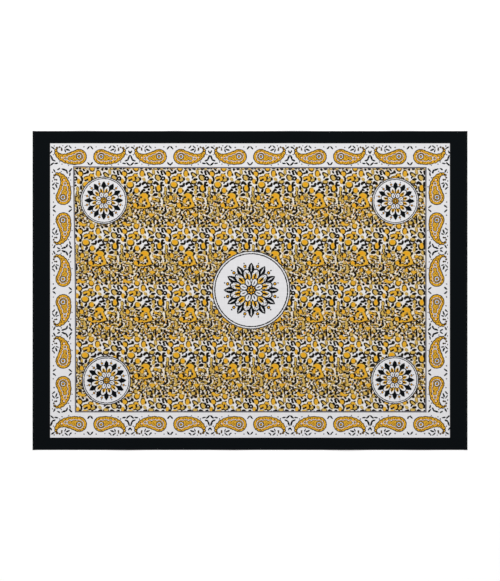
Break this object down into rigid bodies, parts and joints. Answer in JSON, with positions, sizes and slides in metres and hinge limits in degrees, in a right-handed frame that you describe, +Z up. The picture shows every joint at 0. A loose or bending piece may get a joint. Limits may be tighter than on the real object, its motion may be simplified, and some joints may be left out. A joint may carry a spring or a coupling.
{
  "type": "kanga wrap cloth",
  "caption": "Rectangular printed cotton wrap cloth laid flat, with a bordered spotted field, round medallions and a narrow turned hem at each cut end.",
  "frame": {"origin": "middle of the cloth's underside, on the surface it lies on", "axes": "+X along the length from hem to hem, +Y across the width from selvedge to selvedge, +Z up out of the printed face"},
  "size_m": [1.5, 1.1, 0.0024],
  "materials": {
    "printed_cotton": "matte plain-weave cotton, printed in ochre, black and off-white",
    "black_cotton": "matte plain-weave cotton, dyed black"
  },
  "bodies": {
    "root": {"panel": "printed_cotton", "hem_left": "black_cotton", "hem_right": "black_cotton"}
  },
  "joints": []
}
